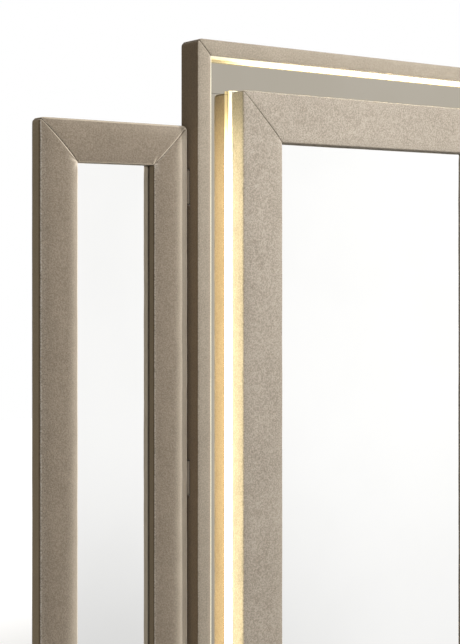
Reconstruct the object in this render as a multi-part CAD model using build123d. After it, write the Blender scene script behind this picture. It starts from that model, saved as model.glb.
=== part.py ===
from build123d import *
import os

os.makedirs("parts", exist_ok=True)

# Lighted makeup mirror: a tall lit centre panel between two hinged wing mirrors.
# Millimetres. +X is the viewer's right, +Y the back, +Z up. The origin is the middle
# of the footprint, on the surface that the mirror stands on.

# Panels, seen from the front
centre_width = 760.0
centre_height = 1227.0
wing_width = 258.0
wing_drop = 134.0
wing_gap = 3.0
pad_height = 3.0

# Rails and the lit gap between the two frames of the centre panel
outer_rail = 25.0
accent_gap = 50.5
side_gap = 55.8
inner_rail = 79.0
wing_rail = 63.0

# Depths, counted from the foremost padding or from the back plane
inner_proud = 10.0
panel_depth = 46.0
board_thickness = 9.0
accent_glass = 5.0
main_recess = 23.0
main_glass = 5.0
backing_thickness = 3.0
wing_recess = 20.0
wing_glass = 4.0
wing_board = 4.0

# Upholstery over the timber cores
side_padding = 4.0
front_padding = 6.0
outer_crown, outer_shoulder = 2.5, 3.5
inner_crown, inner_shoulder = 4.0, 4.5
wing_crown, wing_shoulder = 5.0, 4.5
opening_shoulder = 3.0
seam_dip = 2.2
outer_seam_pull, inner_seam_pull, wing_seam_pull = 8.0, 16.0, 14.0

# Glass seats
rebate = 8.0
glass_clearance = 1.0
fit_clearance = 0.3
accent_clearance = 0.5

# Light strips: a channel on the core's side, a tape in it and an opal lens over it
outer_led_depth = 24.5
inner_led_depth = 10.6
led_stand = 6.0
channel_wall = 1.0
channel_height = 4.5
tape_margin = 1.0
tape_thickness = 0.6
tape_adhesive = 0.05
lens_dome = 1.2
lens_clearance = 0.05
strip_joint = 0.15

# Battens behind the main mirror
batten_width = 40.0
batten_count = 3
batten_margin = 90.0

# Hinges of the wings
hinge_count = 3
hinge_height = 50.0
hinge_margin = 95.0
hinge_inset = 2.2
knuckle_radius = 2.5
knuckle_count = 5
knuckle_gap = 0.2
pin_radius = 1.2
pin_clearance = 0.05
pin_head_radius = 1.9
pin_head = 1.2
leaf_thickness = 1.2
leaf_reach = 13.0
leaf_slack = 1.0
leaf_screw_spacing = 30.0

# Wood screws
screw_radius = 1.5
screw_head_radius = 2.9
screw_head_height = 1.8
screw_slack = 0.05
screw_point = 0.3
short_screw = 12.0
long_screw = 22.0
board_screw_rows = 4
board_screw_edge = 55.0
top_screw_spacing = 300.0
wing_screw_rows = 3
wing_screw_edge = 70.0

# Angle brackets that hold the mirror to the table top
bracket_width = 30.0
bracket_height = 125.0
bracket_reach = 44.0
bracket_thickness = 3.0
bracket_bend = 5.0
bracket_offset = 220.0
bolt_radius = 2.75
bolt_count = 2
bolt_first = 16.0
bolt_spacing = 18.0
bracket_screw_levels = (15.0, 95.0, 112.0)

# Pads under the centre panel
foot_length = 40.0
foot_front = 5.0
foot_positions = (-330.0, -115.0, 115.0, 330.0)

# Driver box on the back
box_width = 120.0
box_height = 60.0
box_depth = 26.0
box_wall = 2.0
box_level = 88.0
box_corner = 4.0
least_corner = 1.0
boss_radius = 3.2
boss_inset = 7.2
lid_lip = 1.0
tray_screw_x = 30.0
board_gap = 4.0
post_radius = 2.0
coil_x = 8.0
coil_size, coil_height = 16.0, 10.0
capacitor_places = (-24.0, -36.0)
capacitor_radius, capacitor_height = 4.0, 11.0
circuit_thickness = 1.6
circuit_margin = 11.0
button_x, button_drop = 38.0, 30.0
button_radius = 7.0
button_stand = 2.5
button_travel = 1.5
button_clearance = 0.1
flange_radius = 8.5
flange_thickness = 1.0
stem_radius = 2.0
stem_clearance = 0.1
stem_overlap = 1.0
button_edge = 0.8
switch_size = 9.0
switch_height = 7.0
inlet_x = -38.0
inlet_radius = 5.5
inlet_bore = 2.8
inlet_pin = 1.0
inlet_depth = 12.0
inlet_offset = 12.5
inlet_wall = 2.0
inlet_flange, inlet_flange_height = 7.5, 1.5

# Leads from the driver to the light strips
lead_radius = 1.5
lead_hole = 2.0
lead_bend = 6.0
inner_lead_x, outer_lead_x = -12.0, 12.0
groove_depth = 7.0

# Planes and levels that follow from the sizes above
overall_depth = inner_proud + panel_depth + bracket_reach
inner_front = -overall_depth / 2
outer_front = inner_front + inner_proud
back_plane = outer_front + panel_depth
board_front = back_plane - board_thickness
accent_face = board_front - accent_glass
outer_led_front = accent_face - outer_led_depth
inner_led_front = accent_face - inner_led_depth
main_face = inner_front + main_recess
backing_front = main_face + main_glass
batten_front = backing_front + backing_thickness
wing_board_front = back_plane - wing_board
wing_face = wing_board_front - wing_glass
wing_front = wing_face - wing_recess

inner_inset = outer_rail + accent_gap
inner_side_inset = outer_rail + side_gap
inner_width = centre_width - 2 * inner_side_inset
inner_height = centre_height - 2 * inner_inset
wing_height = centre_height - wing_drop
wing_middle = -(centre_width + wing_width) / 2 - wing_gap

inner_core_front = inner_front + front_padding
outer_core_front = outer_front + front_padding
wing_core_front = wing_front + front_padding

cut_depth = 4 * overall_depth
mitre_margin = 2.0
cut_margin = 1.0
flip = Plane.YZ


def node(name, *solids):
    # One piece, or one group of separate solids, in its own file.
    shape = solids[0] if len(solids) == 1 else Compound(children=list(solids))
    export_step(shape, f"parts/{name}.step")


def block(x0, x1, y0, y1, z0, z1):
    # Box between two corners.
    middle = Pos((x0 + x1) / 2, (y0 + y1) / 2, (z0 + z1) / 2)
    return middle * Box(abs(x1 - x0), abs(y1 - y0), abs(z1 - z0))


def outline(*points):
    # Face with straight edges through the points.
    return make_face(Polyline(*points, close=True))


def slab(u0, u1, y0, y1):
    # Rectangular section of a rail.
    return outline((u0, y0), (u1, y0), (u1, y1), (u0, y1))


def mitred_frame(section, width, height, low, high, joint=0.0):
    # Four mitred rails of one section, by side, for a frame that stands on z = 0.
    # The section's first axis runs from the frame's outside edge inwards, from low to
    # high, and its second axis is the depth Y. The joint is the length left off each end.
    def upright(span, length):
        edge = -span / 2
        bar = Pos(edge, 0, low) * extrude(section, length - 2 * low)
        start, stop = low - mitre_margin, high + mitre_margin
        ends = outline(
            (edge + start, start + joint),
            (edge + stop, stop + joint),
            (edge + stop, length - stop - joint),
            (edge + start, length - start - joint),
        )
        return bar & extrude(Plane.XZ * ends, cut_depth, both=True)

    left = upright(width, height)
    bottom = Pos(width / 2, 0, height / 2) * Rot(0, -90, 0) * upright(height, width)
    return {
        "left": left,
        "right": mirror(left, about=Plane.YZ),
        "bottom": bottom,
        "top": Pos(0, 0, height) * mirror(bottom, about=Plane.XY),
    }


def pad_section(width, front, crown, shoulder, outer_end, inner_end):
    # Padding that wraps a core: crowned face, rounded shoulders, and two side walls.
    top = front + crown
    face = front + front_padding
    inner = opening_shoulder
    contour = [
        Line((0, outer_end), (0, top + shoulder)),
        CenterArc((shoulder, top + shoulder), shoulder, 180, 90),
        ThreePointArc((shoulder, top), (width / 2, front), (width - inner, top)),
        CenterArc((width - inner, top + inner), inner, 270, 90),
        Line((width, top + inner), (width, inner_end)),
        Polyline(
            (width, inner_end),
            (width - side_padding, inner_end),
            (width - side_padding, face),
            (side_padding, face),
            (side_padding, outer_end),
            (0, outer_end),
        ),
    ]
    return make_face(contour)


def seam_valleys(width, height, front, pull):
    # Shallow troughs over the mitres, where a pad is drawn down to its corner seams.
    trough = outline(
        (-pull, 0), (0, seam_dip), (pull, 0), (pull, -seam_dip), (-pull, -seam_dip)
    )
    reach = 2 * max(inner_rail, wing_rail, outer_rail)
    cuts = []
    for side_x in (-1, 1):
        for side_z in (-1, 1):
            run = Vector(-side_x, 0, -side_z).normalized()
            corner = Vector(side_x * width / 2, front, height / 2 * (1 + side_z))
            across = Vector(0, 1, 0).cross(run)
            plane = Plane(origin=corner - run * cut_margin, x_dir=across, z_dir=run)
            cuts.append(extrude(plane * trough, reach))
    return cuts


def padded_frame(section, width, height, front, rail, pull):
    # The four upholstered covers of one frame, with their corners drawn in.
    covers = mitred_frame(section, width, height, 0, rail)
    for side in covers:
        for cut in seam_valleys(width, height, front, pull):
            covers[side] -= cut
    return covers


def screw_profile(length, slack=0.0):
    # Half outline of a countersunk screw, head face at z = 0, pointing down.
    radius = screw_radius + slack
    tip = 2 * radius
    return Plane.XZ * outline(
        (0, 0),
        (screw_head_radius + slack, 0),
        (radius, -screw_head_height),
        (radius, -length + tip),
        (screw_point, -length - slack),
        (0, -length - slack),
    )


def screw_at(place, length):
    # A screw and the hole that it needs, at a place that points it down its own -Z.
    body = place * revolve(screw_profile(length), Axis.Z)
    hole = place * revolve(screw_profile(length, screw_slack), Axis.Z)
    return body, hole


def drill(pieces, holes):
    # Takes every hole from every piece of a dictionary that it meets.
    for name in pieces:
        for hole in holes:
            pieces[name] -= hole


def both_sides(shape):
    return [shape, mirror(shape, about=flip)]


# Back screws point forwards, left hinge screws point away from the gap's middle.
into_back = Rot(-90, 0, 0)
to_right = Rot(0, -90, 0)
to_left = Rot(0, 90, 0)
lift = Pos(0, 0, pad_height)

# Centre panel, outer frame
outer_core = mitred_frame(
    slab(side_padding, outer_rail - side_padding, outer_core_front, board_front),
    centre_width,
    centre_height,
    side_padding,
    outer_rail - side_padding,
)
outer_covers = padded_frame(
    pad_section(
        outer_rail, outer_front, outer_crown, outer_shoulder, back_plane, outer_led_front
    ),
    centre_width,
    centre_height,
    outer_front,
    outer_rail,
    outer_seam_pull,
)

# Centre panel, inner frame: its core is rebated from behind for the glass
inner_core_section = outline(
    (side_padding, inner_core_front),
    (inner_rail - side_padding, inner_core_front),
    (inner_rail - side_padding, main_face),
    (inner_rail - side_padding - rebate, main_face),
    (inner_rail - side_padding - rebate, board_front),
    (side_padding, board_front),
)
inner_core = mitred_frame(
    inner_core_section, inner_width, inner_height, side_padding, inner_rail - side_padding
)
inner_covers = padded_frame(
    pad_section(
        inner_rail, inner_front, inner_crown, inner_shoulder, inner_led_front, main_face
    ),
    inner_width,
    inner_height,
    inner_front,
    inner_rail,
    inner_seam_pull,
)
inner_place = Pos(0, 0, inner_inset)
inner_core = {side: inner_place * rail for side, rail in inner_core.items()}
inner_covers = {side: inner_place * rail for side, rail in inner_covers.items()}


def light_strips(seat, inwards, led_front, width, height):
    # Channel, tape and lens along a core's side. The seat is the core's side, counted
    # from the frame's outside edge, and inwards is 1 when the light faces the middle.
    def strip(points, joint):
        # Points hold the height over the seat and the depth.
        placed = [(seat + inwards * over, depth) for over, depth in points]
        heights = [place[0] for place in placed]
        section = outline(*placed)
        if section.faces()[0].normal_at().Z < 0:
            section = outline(*placed[::-1])
        return mitred_frame(section, width, height, min(heights), max(heights), joint)

    back = accent_face
    wall_front, wall_back = led_front + channel_wall, back - channel_wall
    channel = strip(
        [
            (0, led_front),
            (channel_height, led_front),
            (channel_height, wall_front),
            (channel_wall, wall_front),
            (channel_wall, wall_back),
            (channel_height, wall_back),
            (channel_height, back),
            (0, back),
        ],
        0,
    )
    tape_front, tape_back = wall_front + tape_margin, wall_back - tape_margin
    tape_foot = channel_wall + tape_adhesive
    tape_face = tape_foot + tape_thickness
    tape = strip(
        [
            (tape_foot, tape_front),
            (tape_face, tape_front),
            (tape_face, tape_back),
            (tape_foot, tape_back),
        ],
        strip_joint,
    )

    # The lens stands in the channel's mouth and bulges past it.
    middle = (led_front + back) / 2
    lens_front, lens_back = wall_front + lens_clearance, wall_back - lens_clearance
    foot = seat + inwards * (channel_height - 2 * channel_wall)
    crest = seat + inwards * led_stand
    brim = seat + inwards * (led_stand - lens_dome)
    contour = [
        Polyline(
            (brim, lens_front), (foot, lens_front), (foot, lens_back), (brim, lens_back)
        ),
        ThreePointArc((brim, lens_back), (crest, middle), (brim, lens_front)),
    ]
    low, high = sorted((foot, crest))
    lens = mitred_frame(make_face(contour), width, height, low, high, strip_joint)
    return channel, tape, lens


outer_channel, outer_tape, outer_lens = light_strips(
    outer_rail - side_padding, 1, outer_led_front, centre_width, centre_height
)
inner_channel, inner_tape, inner_lens = (
    {side: inner_place * strip for side, strip in strips.items()}
    for strips in light_strips(side_padding, -1, inner_led_front, inner_width, inner_height)
)

# Tinted mirror strips in the lit gap: the top and bottom ones run the whole width
accent_outer = outer_rail - side_padding + accent_clearance
accent_inner = inner_inset + side_padding - accent_clearance
accent_side_inner = inner_side_inset + side_padding - accent_clearance
accent_x = centre_width / 2 - accent_outer
accent_side_low = accent_inner + accent_clearance
accent_strips = {
    "bottom": block(
        -accent_x, accent_x, accent_face, board_front, accent_outer, accent_inner
    ),
    "top": block(
        -accent_x,
        accent_x,
        accent_face,
        board_front,
        centre_height - accent_inner,
        centre_height - accent_outer,
    ),
    "left": block(
        -accent_x,
        accent_side_inner - centre_width / 2,
        accent_face,
        board_front,
        accent_side_low,
        centre_height - accent_side_low,
    ),
}
accent_strips["right"] = mirror(accent_strips["left"], about=flip)

# Main mirror, its backing sheet, and the battens that press it against the rebate
glass_in_rail = inner_rail - side_padding - rebate + glass_clearance
glass_x = inner_width / 2 - glass_in_rail
glass_inset = inner_inset + glass_in_rail
glass_low, glass_high = glass_inset, centre_height - glass_inset
main_mirror = block(-glass_x, glass_x, main_face, backing_front, glass_low, glass_high)
backing = block(-glass_x, glass_x, backing_front, batten_front, glass_low, glass_high)
batten_step = (glass_high - glass_low - 2 * batten_margin) / (batten_count - 1)
battens = []
for index in range(batten_count):
    level = glass_low + batten_margin + index * batten_step
    battens.append(
        block(
            -glass_x,
            glass_x,
            batten_front,
            board_front,
            level - batten_width / 2,
            level + batten_width / 2,
        )
    )

# Back board, let in between the side walls of the padding
board_inset = side_padding + fit_clearance
back_board = block(
    board_inset - centre_width / 2,
    centre_width / 2 - board_inset,
    board_front,
    back_plane,
    board_inset,
    centre_height - board_inset,
)

# Left wing, modelled about its own middle and moved out at the end
wing_core_section = outline(
    (side_padding, wing_core_front),
    (wing_rail - side_padding, wing_core_front),
    (wing_rail - side_padding, wing_face),
    (wing_rail - side_padding - rebate, wing_face),
    (wing_rail - side_padding - rebate, wing_board_front),
    (side_padding, wing_board_front),
)
wing_core = mitred_frame(
    wing_core_section, wing_width, wing_height, side_padding, wing_rail - side_padding
)
wing_covers = padded_frame(
    pad_section(
        wing_rail, wing_front, wing_crown, wing_shoulder, back_plane, wing_face
    ),
    wing_width,
    wing_height,
    wing_front,
    wing_rail,
    wing_seam_pull,
)
wing_glass_inset = wing_rail - side_padding - rebate + glass_clearance
wing_glass_x = wing_width / 2 - wing_glass_inset
wing_mirror = block(
    -wing_glass_x,
    wing_glass_x,
    wing_face,
    wing_board_front,
    wing_glass_inset,
    wing_height - wing_glass_inset,
)
wing_back_board = block(
    board_inset - wing_width / 2,
    wing_width / 2 - board_inset,
    wing_board_front,
    back_plane,
    board_inset,
    wing_height - board_inset,
)
outwards = Pos(wing_middle, 0, 0)
wing_core = {side: outwards * rail for side, rail in wing_core.items()}
wing_covers = {side: outwards * rail for side, rail in wing_covers.items()}
wing_mirror = outwards * wing_mirror
wing_back_board = outwards * wing_back_board

# Hinges between the centre panel's left side and the left wing
hinge_x = -(centre_width + wing_gap) / 2
hinge_y = wing_front + wing_crown + hinge_inset
plate_far = wing_gap / 2 + side_padding
plate_near = plate_far - leaf_thickness
web_front = hinge_y + knuckle_radius - leaf_thickness
plate_back = web_front + leaf_thickness + leaf_reach
leaf_screw_y = (web_front + leaf_thickness + plate_back) / 2
hinge_step = (wing_height - 2 * hinge_margin) / (hinge_count - 1)
hinge_levels = [hinge_margin + index * hinge_step for index in range(hinge_count)]
knuckle_pitch = hinge_height / knuckle_count
leaf_screw_levels = (-leaf_screw_spacing / 2, leaf_screw_spacing / 2)


def hinge_leaf(first_knuckle, direction):
    # A leaf about the hinge axis, with every second knuckle. Its plate lies on the side
    # of a core, and direction is the side of the axis that it lies on.
    leaf = block(
        direction * plate_near,
        direction * plate_far,
        web_front - hinge_y,
        plate_back - hinge_y,
        -hinge_height / 2,
        hinge_height / 2,
    )
    for index in range(first_knuckle, knuckle_count, 2):
        middle = (index + 0.5) * knuckle_pitch - hinge_height / 2
        length = knuckle_pitch - knuckle_gap
        leaf += Pos(0, 0, middle) * Cylinder(knuckle_radius, length)
        leaf += block(
            0,
            direction * plate_far,
            web_front - hinge_y,
            web_front - hinge_y + leaf_thickness,
            middle - length / 2,
            middle + length / 2,
        )
    return leaf - Cylinder(pin_radius + pin_clearance, cut_depth)


frame_leaf, wing_leaf = hinge_leaf(0, 1), hinge_leaf(1, -1)
head_seat = hinge_height / 2 - knuckle_gap / 2
hinge_pin = Cylinder(pin_radius, 2 * head_seat)
for end in (-1, 1):
    hinge_pin += Pos(0, 0, end * (head_seat + pin_head / 2)) * Cylinder(
        pin_head_radius, pin_head
    )

frame_leaves, wing_leaves, hinge_pins = [], [], []
frame_hinge_screws, wing_hinge_screws = [], []
frame_hinge_holes, wing_hinge_holes, frame_notches, wing_notches = [], [], [], []
notch_front = hinge_y - knuckle_radius - leaf_slack
notch_half = hinge_height / 2 + pin_head + leaf_slack
for level in hinge_levels:
    place = Pos(hinge_x, hinge_y, level)
    frame_piece, wing_piece = place * frame_leaf, place * wing_leaf
    hinge_pins.append(place * hinge_pin)
    for offset in leaf_screw_levels:
        seat = Pos(hinge_x + plate_near, leaf_screw_y, level + offset) * to_right
        screw, hole = screw_at(seat, short_screw)
        frame_hinge_screws.append(screw)
        frame_hinge_holes.append(hole)
        frame_piece -= hole
        seat = Pos(hinge_x - plate_near, leaf_screw_y, level + offset) * to_left
        screw, hole = screw_at(seat, short_screw)
        wing_hinge_screws.append(screw)
        wing_hinge_holes.append(hole)
        wing_piece -= hole
    frame_leaves.append(frame_piece)
    wing_leaves.append(wing_piece)
    for direction, notches in ((1, frame_notches), (-1, wing_notches)):
        notches.append(
            block(
                hinge_x,
                hinge_x + direction * plate_far,
                notch_front,
                plate_back + leaf_slack,
                level - notch_half,
                level + notch_half,
            )
        )

drill(outer_core, frame_hinge_holes + [mirror(h, about=flip) for h in frame_hinge_holes])
drill(
    outer_covers, frame_notches + [mirror(notch, about=flip) for notch in frame_notches]
)
drill(wing_core, wing_hinge_holes)
drill(wing_covers, wing_notches)

# Screws through the back boards into the cores
back_screws, back_holes = [], []
side_x = centre_width / 2 - outer_rail / 2
row_step = (centre_height - 2 * board_screw_edge) / (board_screw_rows - 1)
spots = [
    (side * side_x, board_screw_edge + row * row_step)
    for side in (-1, 1)
    for row in range(board_screw_rows)
]
line_in_rail = inner_rail / 2 - rebate / 2
inner_line = inner_inset + line_in_rail
spots += [
    (side * top_screw_spacing / 2, level)
    for side in (-1, 1)
    for level in (
        outer_rail / 2,
        inner_line,
        centre_height - inner_line,
        centre_height - outer_rail / 2,
    )
]
spots += [
    (side * (inner_width / 2 - line_in_rail), centre_height / 2 + end * row_step / 2)
    for side in (-1, 1)
    for end in (-1, 1)
]
for x, z in spots:
    screw, hole = screw_at(Pos(x, back_plane, z) * into_back, long_screw)
    back_screws.append(screw)
    back_holes.append(hole)

wing_screws, wing_holes = [], []
wing_row = (wing_height - 2 * wing_screw_edge) / (wing_screw_rows - 1)
for side in (-1, 1):
    for row in range(wing_screw_rows):
        x = wing_middle + side * (wing_width - wing_rail) / 2
        z = wing_screw_edge + row * wing_row
        screw, hole = screw_at(Pos(x, back_plane, z) * into_back, short_screw)
        wing_screws.append(screw)
        wing_holes.append(hole)
drill(wing_core, wing_holes)
for hole in wing_holes:
    wing_back_board -= hole

# Angle brackets: an upright leg on the back board, a foot on the table top
outer_bend, inner_bend = bracket_bend, bracket_bend - bracket_thickness
bracket_outline = [
    Polyline(
        (0, bracket_bend), (0, bracket_height), (bracket_thickness, bracket_height),
        (bracket_thickness, bracket_thickness + inner_bend),
    ),
    CenterArc(
        (bracket_bend, bracket_bend), inner_bend, 180, 90
    ),
    Polyline(
        (bracket_bend, bracket_thickness), (bracket_reach, bracket_thickness),
        (bracket_reach, 0), (bracket_bend, 0),
    ),
    CenterArc((bracket_bend, bracket_bend), outer_bend, 180, 90),
]
angle = extrude(Plane.YZ * make_face(bracket_outline), bracket_width / 2, both=True)
brackets = []
for side in (-1, 1):
    bracket = Pos(side * bracket_offset, back_plane, 0) * angle
    for index in range(bolt_count):
        y = back_plane + bolt_first + index * bolt_spacing
        bracket -= Pos(side * bracket_offset, y, 0) * Cylinder(bolt_radius, cut_depth)
    for level in bracket_screw_levels:
        seat = Pos(side * bracket_offset, back_plane + bracket_thickness, level)
        screw, hole = screw_at(seat * into_back, long_screw)
        back_screws.append(screw)
        bracket -= hole
        back_holes.append(Pos(0, 0, -pad_height) * hole)
    brackets.append(bracket)

# Driver box on the back: a tray with bosses, closed by a lid with a lip
box_x = box_width / 2
box_top = box_level + box_height
lid_face = back_plane + box_depth
lid_seat = lid_face - box_wall
floor_face = back_plane + box_wall


def rounded_box(inset, y0, y1):
    # Block with the box's outline, drawn in by an inset, with rounded corners.
    width, height = box_width - 2 * inset, box_height - 2 * inset
    radius = max(box_corner - inset, least_corner)
    sheet = Plane.XZ * RectangleRounded(width, height, radius)
    return Pos(0, y1, box_level + box_height / 2) * extrude(sheet, y1 - y0)


def along_y(x, z, y0, y1, radius):
    # Round bar along Y.
    return Pos(x, (y0 + y1) / 2, z) * Rot(90, 0, 0) * Cylinder(radius, y1 - y0)


box_base = rounded_box(0, back_plane, lid_seat)
box_base -= rounded_box(box_wall, floor_face, lid_seat)
lip_outer = box_wall + fit_clearance
box_lid = rounded_box(0, lid_seat, lid_face)
box_lid += rounded_box(lip_outer, lid_seat - box_wall, lid_seat) - rounded_box(
    lip_outer + lid_lip, lid_seat - box_wall, lid_seat
)
lid_screws = []
for side in (-1, 1):
    for z in (box_level + boss_inset, box_top - boss_inset):
        x = side * (box_x - boss_inset)
        box_base += along_y(x, z, floor_face, lid_seat, boss_radius)
        screw, hole = screw_at(Pos(x, lid_face, z) * into_back, short_screw)
        lid_screws.append(screw)
        box_base -= hole
        box_lid -= hole

tray_screws, tray_holes = [], []
for side in (-1, 1):
    seat = Pos(side * tray_screw_x, floor_face, box_level + box_height / 2)
    screw, hole = screw_at(seat * into_back, short_screw)
    tray_screws.append(screw)
    tray_holes.append(hole)

# Circuit board on four posts, with a coil, capacitors and the switch
circuit_face = floor_face + board_gap + circuit_thickness
circuit_x = box_x - circuit_margin
circuit_low, circuit_high = box_level + circuit_margin, box_top - circuit_margin
circuit_board = block(
    -circuit_x,
    circuit_x,
    floor_face + board_gap,
    circuit_face,
    circuit_low,
    circuit_high,
)
post_inset = 2 * post_radius
for side in (-1, 1):
    for z in (circuit_low + post_inset, circuit_high - post_inset):
        x = side * (circuit_x - post_inset)
        box_base += along_y(x, z, floor_face, floor_face + board_gap, post_radius)
middle_z = box_level + box_height / 2
button_z = box_top - button_drop
circuit_board += block(
    coil_x - coil_size / 2,
    coil_x + coil_size / 2,
    circuit_face,
    circuit_face + coil_height,
    middle_z - coil_size / 2,
    middle_z + coil_size / 2,
)
for x in capacitor_places:
    circuit_board += along_y(
        x, middle_z, circuit_face, circuit_face + capacitor_height, capacitor_radius
    )
circuit_board += block(
    button_x - switch_size / 2,
    button_x + switch_size / 2,
    circuit_face,
    circuit_face + switch_height,
    button_z - switch_size / 2,
    button_z + switch_size / 2,
)

# Push button: its stem slides in the switch, its flange stops behind the lid
stem_entry = circuit_face + switch_height - button_travel - stem_overlap
circuit_board -= along_y(
    button_x,
    button_z,
    stem_entry - button_travel,
    lid_face,
    stem_radius + stem_clearance,
)
flange_back = lid_seat - button_clearance
button_face = lid_face + button_stand
button = along_y(button_x, button_z, flange_back, button_face, button_radius)
button = chamfer(button.edges().sort_by(Axis.Y)[-1:], button_edge)
button += along_y(
    button_x, button_z, flange_back - flange_thickness, flange_back, flange_radius
)
button += along_y(
    button_x, button_z, stem_entry, flange_back - flange_thickness, stem_radius
)
box_lid -= along_y(
    button_x,
    button_z,
    lid_seat - cut_margin,
    lid_face + cut_margin,
    button_radius + button_clearance,
)

# Low-voltage inlet in the underside of the driver box
inlet_y = back_plane + box_wall + inlet_offset
inlet = Pos(inlet_x, inlet_y, box_level + inlet_depth / 2) * Cylinder(
    inlet_radius, inlet_depth
)
inlet += Pos(inlet_x, inlet_y, box_level - inlet_flange_height / 2) * Cylinder(
    inlet_flange, inlet_flange_height
)
inlet_mouth = box_level - inlet_flange_height
bore_top = box_level + inlet_depth - inlet_wall
bore_length = bore_top - inlet_mouth
bore_middle = (inlet_mouth + bore_top) / 2
inlet -= Pos(inlet_x, inlet_y, bore_middle) * Cylinder(inlet_bore, bore_length)
contact_length = bore_length - inlet_flange_height
inlet += Pos(inlet_x, inlet_y, bore_top - contact_length / 2) * Cylinder(
    inlet_pin, contact_length
)
box_base -= Pos(inlet_x, inlet_y, box_level) * Cylinder(inlet_radius, 3 * box_wall)

# Leads: through the back board and the cores to the channels of the light strips
led_middle = accent_face - inner_led_depth / 2
lead_start = floor_face + board_gap / 2
groove_middle = board_front + groove_depth / 2
outer_core_middle = outer_rail / 2


def lead_shapes(points):
    # A lead along rounded runs, and the wider passage that it lies in.
    path = FilletPolyline(*points, radius=lead_bend)
    start = Plane(origin=points[0], z_dir=Vector(*points[1]) - Vector(*points[0]))
    lead = sweep(start * Circle(lead_radius), path=path)
    passage = sweep(start * Circle(lead_hole), path=path)
    return lead, passage


inner_lead, inner_passage = lead_shapes(
    [
        (inner_lead_x, lead_start, middle_z),
        (inner_lead_x, led_middle, middle_z),
        (inner_lead_x, led_middle, inner_inset + side_padding),
    ]
)
outer_lead, outer_passage = lead_shapes(
    [
        (outer_lead_x, lead_start, middle_z),
        (outer_lead_x, groove_middle, middle_z),
        (outer_lead_x, groove_middle, outer_core_middle),
        (outer_lead_x, led_middle, outer_core_middle),
        (outer_lead_x, led_middle, outer_rail - side_padding),
    ]
)
passages = [inner_passage, outer_passage]
groove = block(
    outer_lead_x - lead_hole,
    outer_lead_x + lead_hole,
    board_front,
    board_front + groove_depth,
    outer_core_middle - lead_hole,
    middle_z + lead_hole,
)
for cut in back_holes + tray_holes + passages + [groove]:
    back_board -= cut
for cut in tray_holes + passages:
    box_base -= cut
drill(outer_core, back_holes + passages)
drill(inner_core, back_holes + tray_holes + passages)

# Pads under the bottom rail of the centre panel
pads = [
    block(
        x - foot_length / 2,
        x + foot_length / 2,
        outer_front + foot_front,
        back_plane - foot_front,
        0,
        pad_height,
    )
    for x in foot_positions
]

# The centre panel
for side in outer_covers:
    node(f"outer_cover_{side}", lift * outer_covers[side])
    node(f"inner_cover_{side}", lift * inner_covers[side])
    node(f"accent_mirror_{side}", lift * accent_strips[side])
    node(f"outer_light_lens_{side}", lift * outer_lens[side])
    node(f"inner_light_lens_{side}", lift * inner_lens[side])
node("outer_frame_core", *[lift * rail for rail in outer_core.values()])
node("inner_frame_core", *[lift * rail for rail in inner_core.values()])
channels = list(outer_channel.values()) + list(inner_channel.values())
tapes = list(outer_tape.values()) + list(inner_tape.values())
node("light_channels", *[lift * strip for strip in channels])
node("light_tapes", *[lift * strip for strip in tapes])
node("main_mirror", lift * main_mirror)
node("main_mirror_backing", lift * backing)
node("mirror_battens", *[lift * batten for batten in battens])
node("back_board", lift * back_board)
node("driver_box", lift * box_base)
node("driver_box_lid", lift * box_lid)
node("driver_circuit_board", lift * circuit_board)
node("power_inlet", lift * inlet)
node("power_button", lift * button)
node("light_leads", lift * inner_lead, lift * outer_lead)
node("fixing_brackets", *brackets)
node("base_pads", *pads)
back_group = [
    lift * screw for screw in back_screws[:-len(bracket_screw_levels) * 2]
]
back_group += back_screws[-len(bracket_screw_levels) * 2:]
node("back_screws", *back_group)
small_group = [
    screw for piece in frame_hinge_screws for screw in both_sides(piece)
]
small_group += lid_screws + tray_screws
node("small_screws", *[lift * screw for screw in small_group])
node(
    "hinge_frame_leaves", *[lift * s for piece in frame_leaves for s in both_sides(piece)]
)
node("hinge_pins", *[lift * s for piece in hinge_pins for s in both_sides(piece)])

# The wings: the right one is the left one's mirror image
wing_nodes = {f"wing_cover_{side}": [wing_covers[side]] for side in ("top", "bottom")}
wing_nodes["wing_cover_outer"] = [wing_covers["left"]]
wing_nodes["wing_cover_hinge_side"] = [wing_covers["right"]]
wing_nodes["wing_core"] = list(wing_core.values())
wing_nodes["wing_mirror"] = [wing_mirror]
wing_nodes["wing_back_board"] = [wing_back_board]
wing_nodes["wing_hinge_leaves"] = wing_leaves
wing_nodes["wing_screws"] = wing_hinge_screws + wing_screws
for name, pieces in wing_nodes.items():
    node(f"left_{name}", *[lift * piece for piece in pieces])
    node(f"right_{name}", *[lift * mirror(piece, about=flip) for piece in pieces])
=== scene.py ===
import math

import bpy
from mathutils import Matrix, Vector, noise


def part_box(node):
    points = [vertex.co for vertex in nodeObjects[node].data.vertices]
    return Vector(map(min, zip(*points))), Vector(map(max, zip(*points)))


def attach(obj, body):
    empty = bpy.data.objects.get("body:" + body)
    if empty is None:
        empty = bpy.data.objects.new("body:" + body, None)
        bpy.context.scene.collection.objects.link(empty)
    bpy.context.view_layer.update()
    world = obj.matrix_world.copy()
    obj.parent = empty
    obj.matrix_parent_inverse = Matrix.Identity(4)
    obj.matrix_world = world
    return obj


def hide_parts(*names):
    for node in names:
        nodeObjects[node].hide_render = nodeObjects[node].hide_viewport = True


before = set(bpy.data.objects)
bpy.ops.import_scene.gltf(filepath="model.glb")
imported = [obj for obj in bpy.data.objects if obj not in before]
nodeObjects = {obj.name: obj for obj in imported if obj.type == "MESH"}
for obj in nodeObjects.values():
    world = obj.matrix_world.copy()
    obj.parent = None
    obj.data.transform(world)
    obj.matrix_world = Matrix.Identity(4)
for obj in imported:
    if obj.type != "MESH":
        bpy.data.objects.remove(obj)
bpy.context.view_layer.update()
print("frame loaded")

mm = 0.001
sideNames = ("left", "right", "bottom", "top")


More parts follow.
